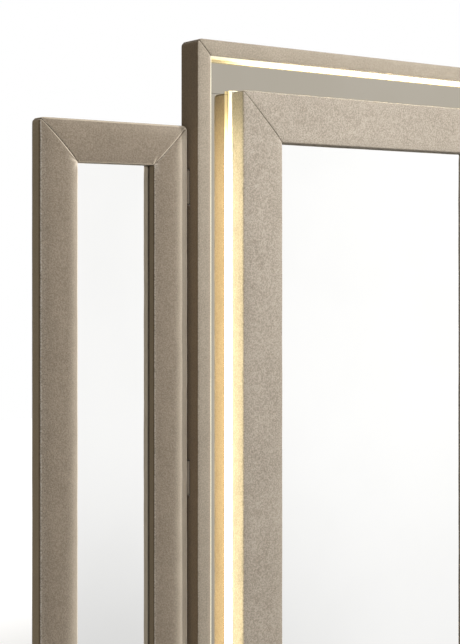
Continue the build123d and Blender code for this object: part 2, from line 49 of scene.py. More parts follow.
# Node helpers: every input is a number, a colour, or the socket that feeds it.
def addNode(tree, kind, inputs=None, **settings):
    node = tree.nodes.new(kind)
    for key, value in settings.items():
        setattr(node, key, value)
    for key, value in (inputs or {}).items():
        if isinstance(value, bpy.types.NodeSocket):
            tree.links.new(value, node.inputs[key])
        else:
            node.inputs[key].default_value = value
    return node


def newGroup(name, inputs, outputs):
    group = bpy.data.node_groups.new(name, "ShaderNodeTree")
    for label, value in inputs.items():
        kind = "NodeSocketColor" if isinstance(value, tuple) else "NodeSocketFloat"
        group.interface.new_socket(
            name=label, in_out="INPUT", socket_type=kind
        ).default_value = value
    for label, kind in outputs.items():
        group.interface.new_socket(name=label, in_out="OUTPUT", socket_type=kind)
    start = group.nodes.new("NodeGroupInput")
    end = group.nodes.new("NodeGroupOutput")
    return group, start, end


def useGroup(tree, group, **inputs):
    node = tree.nodes.new("ShaderNodeGroup")
    node.node_tree = group
    for key, value in inputs.items():
        label = key.replace("_", " ")
        if isinstance(value, bpy.types.NodeSocket):
            tree.links.new(value, node.inputs[label])
        else:
            node.inputs[label].default_value = value
    return node


def noiseIn(tree, vector, scale, detail=2.0, rough=0.5):
    node = addNode(
        tree,
        "ShaderNodeTexNoise",
        {"Vector": vector, "Scale": scale, "Detail": detail, "Roughness": rough},
    )
    return node.outputs["Fac"]


def rangeOf(tree, value, low, high, newLow=0.0, newHigh=1.0):
    node = addNode(
        tree,
        "ShaderNodeMapRange",
        {
            "Value": value,
            "From Min": low,
            "From Max": high,
            "To Min": newLow,
            "To Max": newHigh,
        },
        interpolation_type="SMOOTHSTEP",
    )
    return node.outputs["Result"]


def mathOf(tree, kind, first, second=0.0):
    node = addNode(tree, "ShaderNodeMath", {0: first, 1: second}, operation=kind)
    return node.outputs[0]


def mixOf(tree, factor, first, second):
    node = addNode(
        tree, "ShaderNodeMix", {0: factor, 6: first, 7: second}, data_type="RGBA"
    )
    return node.outputs[2]


def tintOf(tree, factor, colour, tint):
    node = addNode(
        tree,
        "ShaderNodeMix",
        {0: factor, 6: colour, 7: tint},
        data_type="RGBA",
        blend_type="MULTIPLY",
    )
    return node.outputs[2]


def bumpOf(tree, height, strength, distance):
    node = addNode(
        tree,
        "ShaderNodeBump",
        {"Height": height, "Strength": strength, "Distance": distance},
    )
    return node.outputs["Normal"]


def newMaterial(name, **constants):
    material = bpy.data.materials.new(name)
    material.use_nodes = True
    tree = material.node_tree
    shader = tree.nodes["Principled BSDF"]
    for key, value in constants.items():
        shader.inputs[key.replace("_", " ")].default_value = value
    return material, tree, shader


# Shared groups: pile tone, dust film, grain, moulded skin, brushed lines and two masks.
# Each layer is a noise scale, a detail, a low and high end, and a share of the mask.
pileLayers = {
    "broad": {"scale": 14.0, "detail": 2.0, "rough": 0.5, "ends": (0.35, 0.65), "share": 0.08},
    "lay": {"scale": 55.0, "detail": 2.0, "rough": 0.5, "ends": (0.3, 0.7), "share": 0.08},
    "mottle": {"scale": 430.0, "detail": 2.0, "rough": 0.6, "ends": (0.3, 0.7), "share": 0.52},
    "speck": {"scale": 1500.0, "detail": 1.0, "rough": 0.5, "ends": (0.3, 0.7), "share": 0.32},
}


def pileGroup():
    tree, start, end = newGroup(
        "pileTone",
        {"Dark": (0.2, 0.2, 0.2, 1), "Light": (0.4, 0.4, 0.4, 1), "Spread": 1.0},
        {"Colour": "NodeSocketColor", "Mask": "NodeSocketFloat", "Height": "NodeSocketFloat"},
    )
    place = addNode(tree, "ShaderNodeTexCoord").outputs["Object"]
    shares = {}
    for name, layer in pileLayers.items():
        cloud = noiseIn(tree, place, layer["scale"], layer["detail"], layer["rough"])
        shares[name] = mathOf(
            tree, "MULTIPLY", rangeOf(tree, cloud, *layer["ends"]), layer["share"]
        )
    coarse = mathOf(tree, "ADD", shares["broad"], shares["lay"])
    fine = mathOf(tree, "ADD", shares["mottle"], shares["speck"])
    mask = mathOf(tree, "ADD", coarse, fine)
    spread = mathOf(
        tree, "MULTIPLY", mathOf(tree, "SUBTRACT", mask, 0.5), start.outputs["Spread"]
    )
    factor = mathOf(tree, "ADD", spread, 0.5)
    colour = mixOf(tree, factor, start.outputs["Dark"], start.outputs["Light"])
    tree.links.new(colour, end.inputs["Colour"])
    tree.links.new(mask, end.inputs["Mask"])
    tree.links.new(fine, end.inputs["Height"])
    return tree


def filmGroup():
    tree, start, end = newGroup(
        "dustFilm",
        {"Scale": 9.0, "Amount": 0.5},
        {"Mask": "NodeSocketFloat", "Specks": "NodeSocketFloat"},
    )
    place = addNode(tree, "ShaderNodeTexCoord").outputs["Object"]
    cloud = rangeOf(tree, noiseIn(tree, place, start.outputs["Scale"], 3.0), 0.4, 0.75)
    specks = rangeOf(tree, noiseIn(tree, place, 700.0, 1.0), 0.72, 0.8)
    mask = mathOf(tree, "MULTIPLY", cloud, start.outputs["Amount"])
    tree.links.new(mask, end.inputs["Mask"])
    tree.links.new(specks, end.inputs["Specks"])
    return tree


def grainGroup():
    tree, start, end = newGroup(
        "woodGrain",
        {"Dark": (0.3, 0.2, 0.1, 1), "Light": (0.5, 0.4, 0.3, 1), "Stretch": 0.08},
        {"Colour": "NodeSocketColor", "Height": "NodeSocketFloat"},
    )
    place = addNode(tree, "ShaderNodeTexCoord").outputs["Object"]
    stretch = addNode(
        tree, "ShaderNodeCombineXYZ", {"X": 1.0, "Y": 1.0, "Z": start.outputs["Stretch"]}
    ).outputs[0]
    along = addNode(
        tree, "ShaderNodeVectorMath", {0: place, 1: stretch}, operation="MULTIPLY"
    ).outputs[0]
    rings = addNode(
        tree,
        "ShaderNodeTexWave",
        {"Vector": along, "Scale": 60.0, "Distortion": 6.0, "Detail": 3.0},
    ).outputs["Fac"]
    pores = rangeOf(tree, noiseIn(tree, along, 900.0, 2.0), 0.35, 0.7)
    mask = mathOf(
        tree, "ADD", mathOf(tree, "MULTIPLY", rings, 0.6), mathOf(tree, "MULTIPLY", pores, 0.4)
    )
    colour = mixOf(tree, mask, start.outputs["Dark"], start.outputs["Light"])
    tree.links.new(colour, end.inputs["Colour"])
    tree.links.new(mask, end.inputs["Height"])
    return tree


def skinGroup():
    tree, start, end = newGroup(
        "mouldedSkin",
        {"Grain": 900.0, "Cloud": 30.0},
        {"Height": "NodeSocketFloat", "Tone": "NodeSocketFloat"},
    )
    place = addNode(tree, "ShaderNodeTexCoord").outputs["Object"]
    cells = addNode(
        tree, "ShaderNodeTexVoronoi", {"Vector": place, "Scale": start.outputs["Grain"]}
    ).outputs["Distance"]
    cloud = noiseIn(tree, place, start.outputs["Cloud"], 4.0, 0.6)
    tree.links.new(cells, end.inputs["Height"])
    tree.links.new(cloud, end.inputs["Tone"])
    return tree


def brushedGroup():
    tree, start, end = newGroup(
        "brushedLines",
        {"Scale": 300.0},
        {"Height": "NodeSocketFloat", "Tone": "NodeSocketFloat"},
    )
    place = addNode(tree, "ShaderNodeTexCoord").outputs["Object"]
    along = addNode(
        tree, "ShaderNodeVectorMath", {0: place, 1: (1.0, 1.0, 0.03)}, operation="MULTIPLY"
    ).outputs[0]
    lines = noiseIn(tree, along, start.outputs["Scale"], 5.0, 0.7)
    cloud = noiseIn(tree, place, 40.0, 3.0)
    tree.links.new(lines, end.inputs["Height"])
    tree.links.new(cloud, end.inputs["Tone"])
    return tree


def endFadeGroup():
    # Distance from the corners of a ring of lights, as a mask that falls towards them.
    tree, start, end = newGroup(
        "endFade",
        {"Half Width": 0.3, "Half Height": 0.5, "Middle": 0.6, "Reach": 0.04},
        {"Mask": "NodeSocketFloat"},
    )
    place = addNode(tree, "ShaderNodeTexCoord").outputs["Object"]
    parts = addNode(tree, "ShaderNodeSeparateXYZ", {0: place})
    high = mathOf(tree, "SUBTRACT", parts.outputs["Z"], start.outputs["Middle"])
    gaps = [
        mathOf(tree, "SUBTRACT", start.outputs[label], mathOf(tree, "ABSOLUTE", value))
        for label, value in (("Half Width", parts.outputs["X"]), ("Half Height", high))
    ]
    along = mathOf(tree, "MAXIMUM", *gaps)
    mask = rangeOf(tree, along, 0.0, start.outputs["Reach"])
    tree.links.new(mask, end.inputs["Mask"])
    return tree


def turnGroup():
    # Where a cover turns to the left, and where it is an outward flank of its frame: masks that place
    # a painted highlight and painted shade.
    tree, start, end = newGroup(
        "turnMask",
        {"Middle": 0.6165, "From": 0.22, "Until": 0.95},
        {"Left": "NodeSocketFloat", "Flank": "NodeSocketFloat"},
    )
    coordinates = addNode(tree, "ShaderNodeTexCoord")
    place = addNode(tree, "ShaderNodeSeparateXYZ", {0: coordinates.outputs["Object"]}).outputs
    normal = addNode(tree, "ShaderNodeSeparateXYZ", {0: coordinates.outputs["Normal"]}).outputs
    left = mathOf(tree, "MULTIPLY", normal["X"], -1.0)
    rise = rangeOf(tree, left, start.outputs["From"], 0.5)
    fall = rangeOf(tree, left, 0.7, start.outputs["Until"], 1.0, 0.0)
    high = mathOf(tree, "SUBTRACT", place["Z"], start.outputs["Middle"])
    outward = mathOf(
        tree,
        "MAXIMUM",
        mathOf(tree, "MULTIPLY", normal["X"], mathOf(tree, "SIGN", place["X"])),
        mathOf(tree, "MULTIPLY", normal["Z"], mathOf(tree, "SIGN", high)),
    )
    tree.links.new(mathOf(tree, "MULTIPLY", rise, fall), end.inputs["Left"])
    tree.links.new(rangeOf(tree, outward, 0.6, 0.9), end.inputs["Flank"])
    return tree


endFade = endFadeGroup()
turnMask = turnGroup()
pileTone = pileGroup()
dustFilm = filmGroup()
woodGrain = grainGroup()
mouldedSkin = skinGroup()
brushedLines = brushedGroup()
print("node groups made")


# Velvet of the covers
velvetLook = {
    "dark": (0.262, 0.222, 0.176, 1),
    "light": (0.470, 0.410, 0.338, 1),
    "paintedSheenRange": (0.16, 0.56),
    "paintedSheenColour": (0.78, 0.70, 0.585, 1),
    "sheen": 0.55,
    "sheenRoughness": 0.42,
    "sheenTint": (0.93, 0.86, 0.78, 1),
    "bump": 0.5,
    "bumpDistance": 0.0006,
    "paintedLeftSheenColour": (0.74, 0.70, 0.65, 1),
    "shadeTint": (0.36, 0.33, 0.28, 1),
    # Per cover: a tone that is the pile's tint and also painted shade, darkest on the wings; how much
    # painted sheen shows edge-on and in mirrors; the painted silvery highlight on left-turned faces;
    # and the painted shade colour of outward flanks seen straight on
    "lay": {
        "velvetInner": {
            "toneAndShade": (0.86, 0.885, 0.925), "paintedSheen": 0.1, "spread": 1.6, "paintedLeftSheen": 0.0,
            "flankPaintedShade": (0.72, 0.77, 0.79, 1), "mirrored": 0.26,
        },
        "velvetOuter": {
            "toneAndShade": (0.785, 0.795, 0.795), "paintedSheen": 0.2, "spread": 1.0, "paintedLeftSheen": 0.1,
            "flankPaintedShade": (0.50, 0.41, 0.30, 1), "mirrored": 0.1,
        },
        "velvetWing": {
            "toneAndShade": (0.565, 0.548, 0.53), "paintedSheen": 0.9, "spread": 1.1, "paintedLeftSheen": 0.6,
            "flankPaintedShade": (0.46, 0.40, 0.30, 1), "mirrored": 1.0,
        },
    },
}


def toned(colour, toneAndShade):
    return tuple(c * t for c, t in zip(colour, toneAndShade)) + (1,)


def velvetMaterial(name):
    lay = velvetLook["lay"][name]
    material, tree, shader = newMaterial(
        name,
        Roughness=0.92,
        Specular_IOR_Level=0.15,
        Sheen_Weight=velvetLook["sheen"],
        Sheen_Roughness=velvetLook["sheenRoughness"],
        Sheen_Tint=velvetLook["sheenTint"],
    )
    pile = useGroup(
        tree,
        pileTone,
        Dark=toned(velvetLook["dark"], lay["toneAndShade"]),
        Light=toned(velvetLook["light"], lay["toneAndShade"]),
        Spread=lay["spread"],
    )
    # Painted sheen: the pile is mixed towards a pale colour where a face is seen edge-on
    edgeOn = addNode(tree, "ShaderNodeLayerWeight", {"Blend": 0.5}).outputs["Facing"]
    paintedSheen = rangeOf(tree, edgeOn, *velvetLook["paintedSheenRange"], 0.0, lay["paintedSheen"])
    turn = useGroup(tree, turnMask).outputs
    ray = addNode(tree, "ShaderNodeLightPath").outputs
    # Outward flanks seen in mirrors take more of the painted sheen: a painted reflection, brighter
    # than the flank seen straight on
    mirrored = mathOf(tree, "MULTIPLY", ray["Is Glossy Ray"], turn["Flank"])
    paintedSheen = mathOf(tree, "MAXIMUM", paintedSheen, mathOf(tree, "MULTIPLY", mirrored, lay["mirrored"]))
    shade = addNode(tree, "ShaderNodeAttribute", attribute_name="shade").outputs["Fac"]
    paintedSheen = mathOf(tree, "MULTIPLY", paintedSheen, mathOf(tree, "SUBTRACT", 1.0, shade))
    colour = mixOf(tree, paintedSheen, pile.outputs["Colour"], velvetLook["paintedSheenColour"])
    # Painted silvery highlight on faces turned to the left, grainy with the pile
    paintedLeftSheen = mathOf(tree, "MULTIPLY", turn["Left"], pile.outputs["Height"])
    colour = mixOf(
        tree, mathOf(tree, "MULTIPLY", paintedLeftSheen, lay["paintedLeftSheen"]), colour, velvetLook["paintedLeftSheenColour"]
    )
    # Outward flanks seen straight by the camera are multiplied by a painted shade colour; in mirrors
    # they keep their lighter colour
    direct = mathOf(tree, "MULTIPLY", ray["Is Camera Ray"], turn["Flank"])
    colour = tintOf(tree, direct, colour, lay["flankPaintedShade"])
    colour = tintOf(tree, shade, colour, velvetLook["shadeTint"])
    tree.links.new(colour, shader.inputs["Base Color"])
    normal = bumpOf(
        tree, pile.outputs["Height"], velvetLook["bump"], velvetLook["bumpDistance"]
    )
    tree.links.new(normal, shader.inputs["Normal"])
    return material


# Silvered glass, clear and tinted: a dust film softens it a little
mirrorLook = {"film": 7.0, "specks": 0.15, "filmHaze": 0.05}


def mirrorMaterial(name, tint, dustTint, amount, haze):
    material, tree, shader = newMaterial(name, Metallic=1.0)
    film = useGroup(tree, dustFilm, Scale=mirrorLook["film"], Amount=amount)
    colour = mixOf(tree, film.outputs["Mask"], tint, dustTint)
    specks = mathOf(tree, "MULTIPLY", film.outputs["Specks"], mirrorLook["specks"])
    colour = mixOf(tree, specks, colour, dustTint)
    rough = rangeOf(
        tree, film.outputs["Mask"], 0.0, 1.0, haze, haze + mirrorLook["filmHaze"]
    )
    tree.links.new(colour, shader.inputs["Base Color"])
    tree.links.new(rough, shader.inputs["Roughness"])
    return material


# Opal lens over the lit tape: a little dimmer and yellower at the corners
lensLook = {
    "dark": (0.93, 0.90, 0.80, 1),
    "light": (0.97, 0.95, 0.88, 1),
    "colour": (1.0, 0.85, 0.56, 1),
    "endColour": (1.0, 0.82, 0.40, 1),
    "strength": 14.0,
    "endStrength": 0.04,
    "middle": 0.6165,
    "rings": {
        "opalLensOuter": {"halfWidth": 0.355, "halfHeight": 0.5885, "reach": 0.2},
        "opalLensInner": {"halfWidth": 0.2972, "halfHeight": 0.536, "reach": 0.16},
    },
}


def lensMaterial(name):
    ring = lensLook["rings"][name]
    material, tree, shader = newMaterial(name, Roughness=0.35)
    skin = useGroup(tree, mouldedSkin, Grain=500.0, Cloud=60.0)
    fade = useGroup(
        tree,
        endFade,
        Half_Width=ring["halfWidth"],
        Half_Height=ring["halfHeight"],
        Middle=lensLook["middle"],
        Reach=ring["reach"],
    ).outputs["Mask"]
    colour = mixOf(tree, skin.outputs["Tone"], lensLook["dark"], lensLook["light"])
    glow = mixOf(tree, fade, lensLook["endColour"], lensLook["colour"])
    uneven = rangeOf(tree, skin.outputs["Tone"], 0.3, 0.7, 0.96, 1.04)
    strength = mathOf(
        tree,
        "MULTIPLY",
        rangeOf(
            tree, fade, 0.0, 1.0, lensLook["strength"] * lensLook["endStrength"],
            lensLook["strength"],
        ),
        uneven,
    )
    tree.links.new(colour, shader.inputs["Base Color"])
    tree.links.new(glow, shader.inputs["Emission Color"])
    tree.links.new(strength, shader.inputs["Emission Strength"])
    tree.links.new(bumpOf(tree, skin.outputs["Height"], 0.1, 0.0002), shader.inputs["Normal"])
    return material


# Plain finishes: moulded plastics, metals, boards
finishLook = {
    "plasticDust": 0.4,
    "plasticDustColour": (0.45, 0.43, 0.40, 1),
    "boardDust": 0.35,
    "boardDustColour": (0.40, 0.37, 0.33, 1),
    "bumpDistance": 0.0002,
}


def mouldedMaterial(name, dark, light, grain, rough, bump=0.15):
    material, tree, shader = newMaterial(name, Specular_IOR_Level=0.4)
    skin = useGroup(tree, mouldedSkin, Grain=grain, Cloud=25.0)
    film = useGroup(tree, dustFilm, Scale=18.0, Amount=0.35)
    colour = mixOf(tree, skin.outputs["Tone"], dark, light)
    dust = mathOf(tree, "MULTIPLY", film.outputs["Mask"], finishLook["plasticDust"])
    dusty = mixOf(tree, dust, colour, finishLook["plasticDustColour"])
    tree.links.new(dusty, shader.inputs["Base Color"])
    tree.links.new(
        rangeOf(tree, skin.outputs["Tone"], 0.2, 0.8, rough - 0.07, rough + 0.07),
        shader.inputs["Roughness"],
    )
    normal = bumpOf(tree, skin.outputs["Height"], bump, finishLook["bumpDistance"])
    tree.links.new(normal, shader.inputs["Normal"])
    return material


def metalMaterial(name, dark, light, scale, rough):
    material, tree, shader = newMaterial(name, Metallic=1.0)
    lines = useGroup(tree, brushedLines, Scale=scale)
    film = useGroup(tree, dustFilm, Scale=30.0, Amount=0.4)
    colour = mixOf(tree, lines.outputs["Tone"], dark, light)
    tree.links.new(colour, shader.inputs["Base Color"])
    worn = rangeOf(tree, film.outputs["Mask"], 0.0, 0.5, rough, rough + 0.15)
    tree.links.new(worn, shader.inputs["Roughness"])
    normal = bumpOf(tree, lines.outputs["Height"], 0.08, finishLook["bumpDistance"])
    tree.links.new(normal, shader.inputs["Normal"])
    return material


def boardMaterial(name, dark, light, stretch, rough):
    material, tree, shader = newMaterial(name, Specular_IOR_Level=0.3)
    grain = useGroup(tree, woodGrain, Dark=dark, Light=light, Stretch=stretch)
    film = useGroup(tree, dustFilm, Scale=8.0, Amount=0.4)
    dust = mathOf(tree, "MULTIPLY", film.outputs["Mask"], finishLook["boardDust"])
    colour = mixOf(tree, dust, grain.outputs["Colour"], finishLook["boardDustColour"])
    tree.links.new(colour, shader.inputs["Base Color"])
    tree.links.new(
        rangeOf(tree, grain.outputs["Height"], 0.2, 0.8, rough, rough + 0.12),
        shader.inputs["Roughness"],
    )
    normal = bumpOf(tree, grain.outputs["Height"], 0.2, finishLook["bumpDistance"])
    tree.links.new(normal, shader.inputs["Normal"])
    return material


# Plain finishes by slot: kind of finish, material name, darker and lighter colour, then
# the grain (or the stretch of a board's grain) and roughness, and a plastic's bump
plainFinishes = {
    "timber": (boardMaterial, "timber", (0.38, 0.24, 0.12), (0.58, 0.42, 0.25), 0.06, 0.6),
    "board": (boardMaterial, "backBoard", (0.030, 0.026, 0.022), (0.062, 0.054, 0.046), 0.5, 0.62),
    "hardboard": (boardMaterial, "hardboard", (0.19, 0.11, 0.06), (0.28, 0.17, 0.10), 0.9, 0.7),
    "channel_aluminium": (
        metalMaterial, "channelAluminium", (0.70, 0.71, 0.72), (0.80, 0.81, 0.82), 260.0, 0.32
    ),
    "inlet_metal": (
        metalMaterial, "inletMetal", (0.62, 0.60, 0.55), (0.78, 0.76, 0.70), 500.0, 0.28
    ),
    "screw_steel": (
        metalMaterial, "screwSteel", (0.50, 0.46, 0.36), (0.66, 0.62, 0.50), 600.0, 0.28
    ),
    "light_tape": (
        mouldedMaterial, "lightTape", (0.80, 0.79, 0.74), (0.90, 0.89, 0.85), 800.0, 0.5
    ),
    "box_plastic": (
        mouldedMaterial, "boxPlastic", (0.022, 0.022, 0.023), (0.034, 0.034, 0.036), 1100.0, 0.48, 0.4
    ),
    "circuit_board": (
        mouldedMaterial, "circuitBoard", (0.02, 0.11, 0.05), (0.03, 0.17, 0.08), 600.0, 0.4
    ),
    "button_plastic": (
        mouldedMaterial, "buttonPlastic", (0.62, 0.61, 0.58), (0.70, 0.69, 0.66), 1300.0, 0.38
    ),
    "lead_sheath": (
        mouldedMaterial, "leadSheath", (0.03, 0.03, 0.03), (0.05, 0.05, 0.05), 700.0, 0.45
    ),
    "bracket_steel": (
        mouldedMaterial, "bracketSteel", (0.035, 0.033, 0.031), (0.055, 0.052, 0.048), 700.0, 0.5, 0.5
    ),
    "pad_rubber": (
        mouldedMaterial, "padRubber", (0.018, 0.018, 0.018), (0.03, 0.03, 0.03), 600.0, 0.8, 0.3
    ),
    "hinge_bronze": (
        mouldedMaterial, "hingeBronze", (0.17, 0.14, 0.105), (0.22, 0.185, 0.145), 500.0, 0.45, 0.1
    ),
}
materials = {
    "velvet": velvetMaterial("velvetInner"),
    "velvetOuter": velvetMaterial("velvetOuter"),
    "velvetWing": velvetMaterial("velvetWing"),
    "clear_mirror": mirrorMaterial(
        "clearMirror", (0.985, 0.985, 0.98, 1), (0.95, 0.95, 0.945, 1), 0.4, 0.0
    ),
    "tinted_mirror": mirrorMaterial(
        "tintedMirror", (0.445, 0.41, 0.345, 1), (0.475, 0.44, 0.38, 1), 0.5, 0.015
    ),
    "opal_lens": lensMaterial("opalLensOuter"),
    "opalLensInner": lensMaterial("opalLensInner"),
}
for slotName, (makeFinish, name, dark, light, *rest) in plainFinishes.items():
    materials[slotName] = makeFinish(name, dark + (1,), light + (1,), *rest)
print("materials made:", len(materials))


def slotFor(name):
    for word, slotName in (
        ("_cover_", "velvet"),
        ("accent_mirror", "tinted_mirror"),
        ("mirror_backing", "hardboard"),
        ("mirror_battens", "timber"),
        ("_mirror", "clear_mirror"),
        ("light_lens", "opal_lens"),
        ("light_channels", "channel_aluminium"),
        ("light_tapes", "light_tape"),
        ("light_leads", "lead_sheath"),
        ("circuit_board", "circuit_board"),
        ("back_board", "board"),
        ("_core", "timber"),
        ("driver_box", "box_plastic"),
        ("power_button", "button_plastic"),
        ("power_inlet", "inlet_metal"),
        ("fixing_brackets", "bracket_steel"),
        ("base_pads", "pad_rubber"),
        ("hinge", "hinge_bronze"),
        ("screws", "screw_steel"),
    ):
        if word in name:
            return slotName
    return "timber"


# Edge rounding of the hard pieces: width in mm by slot
edgeWidths = {
    "clear_mirror": 0.4,
    "tinted_mirror": 0.15,
    "board": 0.8,
    "box_plastic": 0.6,
    "bracket_steel": 0.5,
    "pad_rubber": 0.8,
    "hinge_bronze": 0.15,
    "inlet_metal": 0.2,
}
for name, piece in nodeObjects.items():
    slotName = slotFor(name)
    piece.data.materials.clear()
    isInnerLens = name.startswith("inner_light_lens")
    piece.data.materials.append(materials["opalLensInner" if isInnerLens else slotName])
    if slotName in edgeWidths:
        bevel = piece.modifiers.new("edgeRounding", "BEVEL")
        bevel.width = edgeWidths[slotName] * mm
        bevel.segments = 2
        bevel.limit_method = "ANGLE"
        bevel.angle_limit = math.radians(40)
        bevel.harden_normals = False
print("node materials set")


# Upholstered pads: a rail's section is followed round its face, then drawn in at the
# mitres, rounded at the corners and given slack, all in millimetres. A crown is how far
# the face falls back to its shoulder, and hingeCrown is that of the outer half by a hinge.
padFrames = {
    "outer": {
        "node": "outer_cover_",
        "material": "velvetOuter",
        "hinge": (),
        "sides": {side: side for side in sideNames},
        "body": "centre_panel",
        "rail": 25.0,
        "crown": 0.9,
        "power": 4,
        "hingeCrown": 0.9,
        "shoulder": 2.2,
        "openingShoulder": 1.6,
        "outerEnd": 6.0,
        "innerEnd": -32.5,
        "footShade": 0.0,
        "pull": 8.0,
        "corner": 9.0,
        "slack": 0.25,
    },
    "inner": {
        "node": "inner_cover_",
        "material": "velvet",
        "hinge": (),
        "sides": {side: side for side in sideNames},
        "body": "centre_panel",
        "rail": 79.0,
        "crown": 1.6,
        "power": 4,
        "hingeCrown": 1.6,
        "shoulder": 2.4,
        "openingShoulder": 3.0,
        "outerEnd": -18.6,
        "innerEnd": -27.0,
        "footShade": 0.7,
        "pull": 16.0,
        "corner": 5.0,
        "slack": 0.5,
    },
}
for wingSide, hingeSide in (("left", "right"), ("right", "left")):
    padFrames[wingSide + "_wing"] = {
        "node": wingSide + "_wing_cover_",
        "material": "velvetWing",
        "hinge": (hingeSide,),
        "sides": {wingSide: "outer", hingeSide: "hinge_side", "bottom": "bottom", "top": "top"},
        "body": wingSide + "_wing",
        "rail": 63.0,
        "crown": 4.0,
        "power": 2.4,
        "hingeCrown": 5.0,
        "shoulder": 4.5,
        "openingShoulder": 2.6,
        "outerEnd": 6.0,
        "innerEnd": -2.0,
        "footShade": 0.9,
        "pull": 14.0,
        "corner": 8.0,
        "slack": 0.5,
    }
padBuild = {
    "thickness": 4.0,
    "face": 6.0,
    "step": 1.6,
    "shoulderPoints": 7,
    "openingPoints": 6,
    "smoothing": 2,
    "near": [
        0, 0.4, 0.9, 1.6, 2.5, *(3.5 + i for i in range(19)), 24, 26, 28.5, 31.5, 35, 39, 43, 48
    ],
    "columnStep": 9.0,
    "seamDepth": 1.3,
    "grooveDepth": 0.5,
    "seamShade": 0.85,
    "footPoints": 3,
    "grooveWidth": 1.0,
    "ridge": 0.12,
    "ridgeAt": 3.0,
    "ridgeWidth": 1.6,
    "flankShare": 0.35,
    "innerFillet": 4.0,
    "pucker": 0.55,
    "puckerWaves": 8,
    "puckerTurn": 0.6,
    "puckerStart": 4.0,
    "puckerReach": 15.0,
    "slackWaves": (62.0, 24.0),
    "fineSlack": 0.45,
    "hingeCrownPower": 2,
    "blend": 0.7,
}


def spacedLine(first, last, count):
    return [
        tuple(a + (b - a) * i / count for a, b in zip(first, last)) for i in range(count)
    ]


def padContour(pad, front, outerCrown, power):
    # Section of a rail: outerCrown is how far its outer half falls back at the shoulder.
    rail, shoulder, inner = pad["rail"], pad["shoulder"], pad["openingShoulder"]
    step = padBuild["step"]
    top = front + outerCrown
    flank = round((pad["outerEnd"] - front) / step)
    points = spacedLine((0, pad["outerEnd"]), (0, top + shoulder), flank)
    for i in range(padBuild["shoulderPoints"]):
        angle = math.pi + math.pi / 2 * i / padBuild["shoulderPoints"]
        points.append(
            (shoulder + shoulder * math.cos(angle), top + shoulder + shoulder * math.sin(angle))
        )
    count = max(6, round((rail - shoulder - inner) / step))
    for i in range(count):
        u = shoulder + (rail - shoulder - inner) * i / count
        if u < rail / 2:
            fall = outerCrown * abs((u - rail / 2) / (rail / 2 - shoulder)) ** power
        else:
            fall = pad["crown"] * ((u - rail / 2) / (rail / 2 - inner)) ** pad["power"]
        points.append((u, front + fall))
    top = front + pad["crown"]
    for i in range(padBuild["openingPoints"]):
        angle = 1.5 * math.pi + math.pi / 2 * i / padBuild["openingPoints"]
        points.append(
            (rail - inner + inner * math.cos(angle), top + inner + inner * math.sin(angle))
        )
    reveal = max(2, round((pad["innerEnd"] - front) / step))
    points += spacedLine((rail, top + inner), (rail, pad["innerEnd"]), reveal)
    points.append((rail, pad["innerEnd"]))
    for _ in range(padBuild["smoothing"]):
        points = (
            points[:1]
            + [
                tuple((a + 2 * b + c) / 4 for a, b, c in zip(*points[i - 1:i + 2]))
                for i in range(1, len(points) - 1)
            ]
            + points[-1:]
        )
    contour = []
    for i, (u, depth) in enumerate(points):
        before, after = points[max(i - 1, 0)], points[min(i + 1, len(points) - 1)]
        run = (after[0] - before[0], after[1] - before[1])
        size = math.hypot(*run) or 1
        contour.append((u, depth, run[1] / size, -run[0] / size))
    return contour


def roundedCorner(own, other, radius):
    # Distances from a pad's own edge and from its neighbour's, drawn in to a rounded corner.
    if own >= radius or other >= radius:
        return own, other
    q, r = radius - own, radius - other
    size = math.hypot(q, r)
    if size == 0:
        return own, other
    factor = max(q, r) / size
    return radius - q * factor, radius - r * factor


def padSurface(pad, u, depth, nu, nd, e):
    # Offset of a point of the section, e along the rail from the mitre.
    build = padBuild
    seam = build["seamDepth"] * math.exp(-e / (0.4 * pad["pull"]))
    groove = build["grooveDepth"] * math.exp(-((e / build["grooveWidth"]) ** 2))
    ridge = build["ridge"] * math.exp(-(((e - build["ridgeAt"]) / build["ridgeWidth"]) ** 2))
    facing = max(0.0, -nd)
    share = build["flankShare"] + (1 - build["flankShare"]) * facing
    off = -(seam * share + groove) + ridge
    away = math.hypot(pad["rail"] - u, e)
    turn = math.atan2(e, pad["rail"] - u + 0.01)
    off += (
        build["pucker"]
        * math.sin(build["puckerWaves"] * turn + build["puckerTurn"])
        * math.exp(-away / build["puckerReach"])
        * min(1.0, away / build["puckerStart"])
        * facing
    )
    u += off * nu
    depth += off * nd
    reach = build["innerFillet"]
    weight = max(0.0, 1 - (pad["rail"] - u) / (0.3 * pad["rail"]))
    if e < reach and weight > 0:
        theta = math.pi / 4 * (1 - e / reach)
        u += weight * reach * (1 - math.cos(theta))
        e += weight * (reach * (math.cos(theta) - math.sin(theta)) - e)
    own, other = roundedCorner(u, u + e, pad["corner"])
    return own, depth, other - own


def smoothed(value):
    value = max(0.0, min(1.0, value))
    return value * value * (3 - 2 * value)


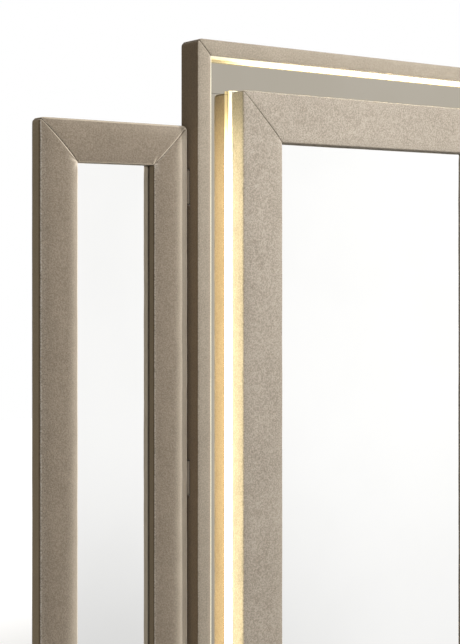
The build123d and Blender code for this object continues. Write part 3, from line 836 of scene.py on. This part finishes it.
def padMesh(name, pad, side, low, high, front):
    # low and high are the frame's own corners in millimetres.
    width, height = high.x - low.x, high.z - low.z
    length = height if side in ("left", "right") else width
    near = padBuild["near"]
    fixed = near[-1]
    count = max(1, round((length / 2 - pad["rail"] / 2 - fixed) / padBuild["columnStep"]))
    half = [(e, 0.0) for e in near] + [(fixed, i / count) for i in range(1, count + 1)]
    columns = [(-1, e, f) for e, f in half] + [(1, e, f) for e, f in half[-2::-1]]
    flat = padContour(pad, front, pad["crown"], pad["power"])
    crowned = padContour(pad, front, pad["hingeCrown"], padBuild["hingeCrownPower"])
    rail, thick = pad["rail"], padBuild["thickness"]
    face = front + padBuild["face"]
    inside = [
        (rail - thick, pad["innerEnd"]),
        (rail - thick, face),
        (thick, face),
        (thick, pad["outerEnd"]),
    ]
    seed = Vector((3.7, 1.3, 9.1))
    broad, small = padBuild["slackWaves"]
    share = padBuild["flankShare"]

    def spot(u, depth, t):
        if side == "left":
            return Vector((low.x + u, depth, (low.z + high.z) / 2 + t))
        if side == "right":
            return Vector((high.x - u, depth, (low.z + high.z) / 2 + t))
        if side == "bottom":
            return Vector(((low.x + high.x) / 2 + t, depth, low.z + u))
        return Vector(((low.x + high.x) / 2 + t, depth, high.z - u))

    vertices, shades = [], []
    for sign, e, f in columns:
        along = sign * (1 - (e + rail / 2) / (length / 2)) * (1 - f)
        if side in pad["hinge"]:
            weight = 1.0
        elif side in ("left", "right"):
            weight = 0.0
        else:
            direction = 1 if "right" in pad["hinge"] else -1
            weight = smoothed(0.5 + padBuild["blend"] * along * direction)
        contour = [
            tuple(a + (b - a) * weight for a, b in zip(*pair)) for pair in zip(flat, crowned)
        ]
        for u, depth, nu, nd in contour:
            plain = spot(u, depth, sign * (length / 2 - u - e) * (1 - f))
            fine = padBuild["fineSlack"] * noise.noise(plain / small + seed)
            soft = noise.noise(plain / broad + seed) + fine
            off = pad["slack"] * soft * (share + (1 - share) * max(0.0, -nd))
            newU, newDepth, newE = padSurface(pad, u + off * nu, depth + off * nd, nu, nd, e)
            vertices.append(spot(newU, newDepth, sign * (length / 2 - newU - newE) * (1 - f)))
        for u, depth in inside:
            vertices.append(spot(u, depth, sign * (length / 2 - u - e) * (1 - f)))
        seam = padBuild["seamShade"] * math.exp(-((e / padBuild["grooveWidth"]) ** 2))
        shades += [seam] * (len(contour) - padBuild["footPoints"])
        shades += [max(seam, pad["footShade"])] * padBuild["footPoints"] + [0] * len(inside)
    ring = len(flat) + len(inside)
    faces = []
    for column in range(len(columns) - 1):
        start = column * ring
        for i in range(ring):
            j = (i + 1) % ring
            faces.append((start + i, start + j, start + ring + j, start + ring + i))
    faces.append(tuple(range(ring))[::-1])
    faces.append(tuple(range(len(vertices) - ring, len(vertices))))
    if side in ("right", "bottom"):
        faces = [loop[::-1] for loop in faces]
    mesh = bpy.data.meshes.new(name)
    mesh.from_pydata([v * mm for v in vertices], [], faces)
    mesh.validate()
    mesh.attributes.new("shade", "FLOAT", "POINT").data.foreach_set("value", shades)
    mesh.shade_smooth()
    for polygon in mesh.polygons[-2:]:
        polygon.use_smooth = False
    return mesh


# Notches that clear the hinges, cut out of the pads beside the wing gaps
notch = {
    "x": 381.5,
    "reach": 2.7,
    "front": -17.5,
    "back": 2.0,
    "levels": (98.0, 549.5, 1001.0),
    "half": 27.2,
}


def boxMesh(name, boxes):
    # One mesh of closed boxes, each given by its two ends along x, y and z in millimetres.
    vertices, faces = [], []
    for xs, ys, zs in boxes:
        start = len(vertices)
        vertices += [Vector((x, y, z)) * mm for x in xs for y in ys for z in zs]
        for loop in (
            (0, 1, 3, 2), (4, 6, 7, 5), (0, 4, 5, 1), (2, 3, 7, 6), (0, 2, 6, 4), (1, 5, 7, 3)
        ):
            faces.append([start + i for i in loop])
    mesh = bpy.data.meshes.new(name)
    mesh.from_pydata(vertices, [], faces)
    return mesh


def notchCutter(side, wing):
    direction = -1 if side == "left" else 1
    outward = direction if wing else -direction
    edges = sorted((direction * notch["x"], direction * notch["x"] + outward * notch["reach"]))
    depths = (notch["front"], notch["back"])
    mesh = boxMesh("notchCutter", [
        (edges, depths, (level - notch["half"], level + notch["half"]))
        for level in notch["levels"]
    ])
    cutter = bpy.data.objects.new("notchCutter", mesh)
    bpy.context.scene.collection.objects.link(cutter)
    return cutter


def cutWith(piece, cutter):
    modifier = piece.modifiers.new("notches", "BOOLEAN")
    modifier.operation = "DIFFERENCE"
    modifier.solver = "EXACT"
    modifier.object = cutter
    graph = bpy.context.evaluated_depsgraph_get()
    mesh = bpy.data.meshes.new_from_object(piece.evaluated_get(graph))
    piece.modifiers.clear()
    piece.data = mesh
    bpy.data.objects.remove(cutter)


for frameName, pad in padFrames.items():
    boxes = [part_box(pad["node"] + word) for word in pad["sides"].values()]
    low = Vector([min(box[0][i] for box in boxes) for i in range(3)]) / mm
    high = Vector([max(box[1][i] for box in boxes) for i in range(3)]) / mm
    for side, word in pad["sides"].items():
        node = pad["node"] + word
        piece = bpy.data.objects.new(
            frameName + "_pad_" + word, padMesh(frameName + side, pad, side, low, high, low.y)
        )
        bpy.context.scene.collection.objects.link(piece)
        piece.data.materials.append(materials[pad["material"]])
        if word == "hinge_side":
            cutWith(piece, notchCutter("left" if side == "right" else "right", True))
        elif frameName == "outer" and side in ("left", "right"):
            cutWith(piece, notchCutter(side, False))
        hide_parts(node)
        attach(piece, pad["body"])
print("pads made")


# Screws with cross recesses, set where the CAD groups have theirs
screw = {
    "head": 2.9,
    "rings": (0.0, 0.3, 0.55, 0.8, 1.05, 1.3, 1.55, 1.8, 2.1, 2.5, 2.75, 2.9),
    "segments": 48,
    "armWidth": 0.34,
    "armLength": 1.75,
    "sideSlope": 0.16,
    "endSlope": 0.5,
    "recess": 1.1,
    "dome": 0.12,
    "shank": ((2.9, 0.15), (1.5, 1.8), (1.45, 2.6)),
    "thread": (1.5, 1.15),
    "pitch": 1.1,
    "plainEnd": 2.0,
    "point": 0.3,
    "spin": 1.1,
}


def screwTemplate(length):
    rings, segments = [], screw["segments"]
    for radius in screw["rings"][1:]:
        ring = []
        for i in range(segments):
            angle = 2 * math.pi * i / segments
            x, y = radius * math.cos(angle), radius * math.sin(angle)
            near, far = sorted((abs(x), abs(y)))
            side = max(0.0, min(1.0, (screw["armWidth"] - near) / screw["sideSlope"]))
            run = max(0.0, min(1.0, (screw["armLength"] - far) / screw["endSlope"]))
            deep = screw["recess"] * side * run
            dome = screw["dome"] * (1 - (radius / screw["head"]) ** 2)
            ring.append((x, y, -screw["dome"] + dome - deep))
        rings.append(ring)
    profile = list(screw["shank"])
    down = profile[-1][1]
    turn = 0
    while down + screw["pitch"] / 2 < length - screw["plainEnd"]:
        down += screw["pitch"] / 2
        turn += 1
        profile.append((screw["thread"][turn % 2], down))
    profile.append((screw["point"], length))
    for radius, down in profile:
        rings.append(
            [
                (
                    radius * math.cos(2 * math.pi * i / segments),
                    radius * math.sin(2 * math.pi * i / segments),
                    -down,
                )
                for i in range(segments)
            ]
        )
    vertices = [Vector((0, 0, -screw["recess"]))]
    vertices += [Vector(point) for ring in rings for point in ring]
    vertices.append(Vector((0, 0, -length)))
    faces = [(0, 1 + i, 1 + (i + 1) % segments) for i in range(segments)]
    for r in range(len(rings) - 1):
        a, b = 1 + r * segments, 1 + (r + 1) * segments
        for i in range(segments):
            j = (i + 1) % segments
            faces.append((a + i, b + i, b + j, a + j))
    last = len(vertices) - 1
    base = last - segments
    faces += [(last, base + (i + 1) % segments, base + i) for i in range(segments)]
    return vertices, faces


def looseParts(mesh):
    # Points of the separate solids of a mesh, whose patches meet at equal places.
    parent = list(range(len(mesh.vertices)))
    atPlace = {}

    def root(i):
        while parent[i] != i:
            parent[i] = parent[parent[i]]
            i = parent[i]
        return i

    for vertex in mesh.vertices:
        key = tuple(round(c / mm, 1) for c in vertex.co)
        parent[vertex.index] = atPlace.setdefault(key, vertex.index)
    for edge in mesh.edges:
        a, b = (root(i) for i in edge.vertices)
        parent[a] = b
    parts = {}
    for vertex in mesh.vertices:
        parts.setdefault(root(vertex.index), []).append(vertex.co / mm)
    return list(parts.values())


def screwPlaces(mesh):
    # Head centre, direction, length and head radius of each screw, in millimetres.
    places = []
    for points in looseParts(mesh):
        low = Vector([min(p[i] for p in points) for i in range(3)])
        high = Vector([max(p[i] for p in points) for i in range(3)])
        size = high - low
        usual = sorted(size)[1]
        axis = max(range(3), key=lambda i: abs(size[i] - usual))
        middle = (low + high) / 2
        ends = []
        for end in (low[axis], high[axis]):
            spread = [
                math.dist(
                    [c for i, c in enumerate(p) if i != axis],
                    [c for i, c in enumerate(middle) if i != axis],
                )
                for p in points
                if abs(p[axis] - end) < 0.3
            ]
            ends.append((max(spread), end))
        radius, head = max(ends)
        middle[axis] = head
        direction = Vector((0, 0, 0))
        direction[axis] = 1 if head > (low[axis] + high[axis]) / 2 else -1
        places.append((middle, direction, size[axis], radius))
    return places


for name, body in (
    ("back_screws", "centre_panel"),
    ("small_screws", "centre_panel"),
    ("left_wing_screws", "left_wing"),
    ("right_wing_screws", "right_wing"),
):
    vertices, faces = [], []
    places = screwPlaces(nodeObjects[name].data)
    for index, (middle, direction, length, radius) in enumerate(places):
        scale = radius / screw["head"]
        shape, loops = screwTemplate(length / scale)
        spin = Matrix.Rotation(index * screw["spin"], 3, "Z").to_quaternion()
        turn = direction.to_track_quat("Z", "Y") @ spin
        start = len(vertices)
        vertices += [(middle + turn @ (point * scale)) * mm for point in shape]
        faces += [[start + i for i in loop] for loop in loops]
    mesh = bpy.data.meshes.new(name + "_detailed")
    mesh.from_pydata(vertices, [], faces)
    mesh.shade_smooth()
    mesh.set_sharp_from_angle(angle=math.radians(35))
    mesh.materials.append(materials["screw_steel"])
    piece = bpy.data.objects.new(name + "_detailed", mesh)
    bpy.context.scene.collection.objects.link(piece)
    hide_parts(name)
    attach(piece, body)
    print(name, "screws:", len(places))
print("screws made")


# Thin lip of the outer opal lenses, seen as a cream line along the padded rails: its glow is a
# painted highlight, seen only by the camera and in mirrors, that lights nothing.
lipLook = {
    "edge": 355.0,
    "low": 28.0,
    "high": 1205.0,
    "stand": {"left": 2.8, "right": 2.8, "bottom": 2.0, "top": 2.0},
    "front": -35.6,
    "back": -34.6,
    "sink": 1.0,
    "glow": 0.95,
    "dark": (0.90, 0.84, 0.62, 1),
    "light": (0.98, 0.93, 0.72, 1),
    "unlit": (0.2, 0.19, 0.16, 1),
    "rounding": 0.3,
}


def makeLips():
    material, tree, shader = newMaterial("lensLip", Roughness=0.4)
    skin = useGroup(tree, mouldedSkin, Grain=500.0, Cloud=60.0)
    glow = mixOf(tree, skin.outputs["Tone"], lipLook["dark"], lipLook["light"])
    tree.links.new(glow, shader.inputs["Emission Color"])
    # The lip glows only for camera and mirror rays: a painted highlight, not a lamp
    ray = addNode(tree, "ShaderNodeLightPath").outputs
    seen = mathOf(tree, "MAXIMUM", ray["Is Camera Ray"], ray["Is Glossy Ray"])
    tree.links.new(
        mathOf(tree, "MULTIPLY", seen, lipLook["glow"]), shader.inputs["Emission Strength"]
    )
    shader.inputs["Base Color"].default_value = lipLook["unlit"]
    stand, sink = lipLook["stand"], lipLook["sink"]
    edge, low, high = lipLook["edge"], lipLook["low"], lipLook["high"]
    spans = {
        "left": (-edge - sink, -edge + stand["left"], low, high),
        "right": (edge - stand["right"], edge + sink, low, high),
        "bottom": (-edge, edge, low - sink, low + stand["bottom"]),
        "top": (-edge, edge, high - stand["top"], high + sink),
    }
    for side, (x0, x1, z0, z1) in spans.items():
        depths = (lipLook["front"], lipLook["back"])
        mesh = boxMesh("lensLip" + side, [((x0, x1), depths, (z0, z1))])
        mesh.materials.append(material)
        lip = bpy.data.objects.new("outer_lens_lip_" + side, mesh)
        bpy.context.scene.collection.objects.link(lip)
        bevel = lip.modifiers.new("edgeRounding", "BEVEL")
        bevel.width = lipLook["rounding"] * mm
        bevel.segments = 2
        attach(lip, "centre_panel")


makeLips()


# Stage: pale floor that takes the shadow, kept out of the mirrors
floorLook = {
    "size": 9.0,
    "colour": (0.55, 0.54, 0.52, 1),
    "paler": 1.03,
    "lift": 0.6,
    "liftFrom": 0.7,
    "liftUntil": 1.6,
}


def makeFloor():
    half = floorLook["size"] / 2
    mesh = bpy.data.meshes.new("floor")
    mesh.from_pydata(
        [(-half, -half, 0), (half, -half, 0), (half, half, 0), (-half, half, 0)],
        [],
        [(0, 1, 2, 3)],
    )
    floor = bpy.data.objects.new("floor", mesh)
    bpy.context.scene.collection.objects.link(floor)
    material, tree, shader = newMaterial(
        "floor", Roughness=0.9, Specular_IOR_Level=0.1, Emission_Color=(1, 1, 1, 1)
    )
    skin = useGroup(tree, mouldedSkin, Grain=300.0, Cloud=3.0)
    pale = floorLook["colour"]
    paler = tuple(min(1, c * floorLook["paler"]) for c in pale)
    colour = mixOf(tree, skin.outputs["Tone"], pale, paler)
    tree.links.new(colour, shader.inputs["Base Color"])
    camera = addNode(tree, "ShaderNodeLightPath").outputs["Is Camera Ray"]
    place = addNode(tree, "ShaderNodeTexCoord").outputs["Object"]
    away = addNode(
        tree, "ShaderNodeVectorMath", {0: place}, operation="LENGTH"
    ).outputs["Value"]
    lift = rangeOf(
        tree, away, floorLook["liftFrom"], floorLook["liftUntil"], floorLook["lift"], 1.0
    )
    tree.links.new(
        mathOf(tree, "MULTIPLY", camera, lift), shader.inputs["Emission Strength"]
    )
    mesh.materials.append(material)
    floor.visible_glossy = False


makeFloor()


# World: white to the camera, a softly darkening white in the mirrors, dim fill elsewhere
worldLook = {
    "fill": 0.15,
    "fillColour": (1.0, 0.93, 0.80, 1),
    "mirrored": (1, 0.998, 0.992, 1),
    "bright": 1.03,
    "slant": (0.14, 0.52),
    "across": (-0.98, -0.56),
    "dropLeft": 0.128,
    "dropRight": 0.26,
    "dimRight": 0.08,
}


def makeWorld():
    world = bpy.data.worlds.new("studio")
    bpy.context.scene.world = world
    world.use_nodes = True
    tree = world.node_tree
    tree.nodes.clear()
    ray = addNode(tree, "ShaderNodeLightPath")
    way = addNode(tree, "ShaderNodeTexCoord").outputs["Generated"]
    parts = addNode(tree, "ShaderNodeSeparateXYZ", {0: way})
    slant = mathOf(tree, "DIVIDE", parts.outputs["Z"], parts.outputs["Y"])
    drop = rangeOf(tree, slant, *worldLook["slant"])
    across = mathOf(tree, "DIVIDE", parts.outputs["X"], parts.outputs["Y"])
    side = rangeOf(tree, across, *worldLook["across"])
    right = mathOf(tree, "MULTIPLY", side, worldLook["dropRight"])
    low = mathOf(tree, "ADD", right, worldLook["dropLeft"])
    base = mathOf(tree, "MULTIPLY", side, worldLook["dimRight"])
    dark = mathOf(tree, "ADD", mathOf(tree, "MULTIPLY", drop, low), base)
    bright = mathOf(tree, "SUBTRACT", worldLook["bright"], dark)
    mirrored = addNode(
        tree, "ShaderNodeBackground", {"Color": worldLook["mirrored"], "Strength": bright}
    )
    fill = addNode(
        tree,
        "ShaderNodeBackground",
        {"Color": worldLook["fillColour"], "Strength": worldLook["fill"]},
    )
    white = addNode(tree, "ShaderNodeBackground", {"Color": (1, 1, 1, 1), "Strength": 1.0})
    sharp = mathOf(
        tree, "MAXIMUM", ray.outputs["Is Glossy Ray"], ray.outputs["Is Transmission Ray"]
    )
    direct = mathOf(tree, "LESS_THAN", ray.outputs["Diffuse Depth"], 0.5)
    sharp = mathOf(tree, "MULTIPLY", sharp, direct)
    first = addNode(
        tree,
        "ShaderNodeMixShader",
        {0: sharp, 1: fill.outputs[0], 2: mirrored.outputs[0]},
    )
    second = addNode(
        tree,
        "ShaderNodeMixShader",
        {0: ray.outputs["Is Camera Ray"], 1: first.outputs[0], 2: white.outputs[0]},
    )
    addNode(tree, "ShaderNodeOutputWorld", {"Surface": second.outputs[0]})


makeWorld()


# Key from the right and above, a weaker light near the camera's side, a small one over
# the top and a wide one behind, none of them seen in the mirrors
lampLook = {
    "front": {"place": (-1.35, -2.6, 1.9), "aim": (-0.3, 0.0, 0.8), "size": 0.6,
              "power": 30.0, "colour": (1.0, 0.98, 0.95)},
    "top": {"place": (-0.15, -0.75, 1.45), "aim": (-0.15, 0.0, 1.05), "size": 0.4,
            "power": 2.5, "colour": (1.0, 0.99, 0.97)},
    "key": {"place": (2.02, -2.75, 2.58), "aim": (-0.2, 0.0, 0.7), "size": 0.35,
            "power": 150.0, "colour": (1.0, 0.98, 0.945)},
    "back": {"place": (0.9, 2.2, 1.7), "aim": (0.0, 0.0, 0.6), "size": 1.6,
             "power": 16.0, "colour": (1.0, 0.98, 0.95)},
}
for name, look in lampLook.items():
    lamp = bpy.data.lights.new(name, "AREA")
    lamp.energy = look["power"]
    lamp.size = look["size"]
    lamp.color = look["colour"]
    holder = bpy.data.objects.new(name, lamp)
    bpy.context.scene.collection.objects.link(holder)
    holder.location = look["place"]
    aim = Vector(look["aim"]) - Vector(look["place"])
    holder.rotation_euler = aim.to_track_quat("-Z", "Y").to_euler()
    holder.visible_glossy = False


# Camera at the photo's angle
cameraLook = {
    "place": (-1.532, -1.709, 0.911),
    "level": 90.0,
    "turn": -36.0,
    "lens": 73.62,
    "sensor": 36.0,
    "shift": -0.1196,
}
camera = bpy.data.cameras.new("photoCamera")
camera.lens = cameraLook["lens"]
camera.sensor_width = cameraLook["sensor"]
camera.shift_y = cameraLook["shift"]
holder = bpy.data.objects.new("photoCamera", camera)
holder.location = cameraLook["place"]
holder.rotation_euler = (
    math.radians(cameraLook["level"]), 0, math.radians(cameraLook["turn"])
)
bpy.context.scene.collection.objects.link(holder)
bpy.context.scene.camera = holder
bpy.context.scene.view_settings.view_transform = "Standard"
print("stage set")
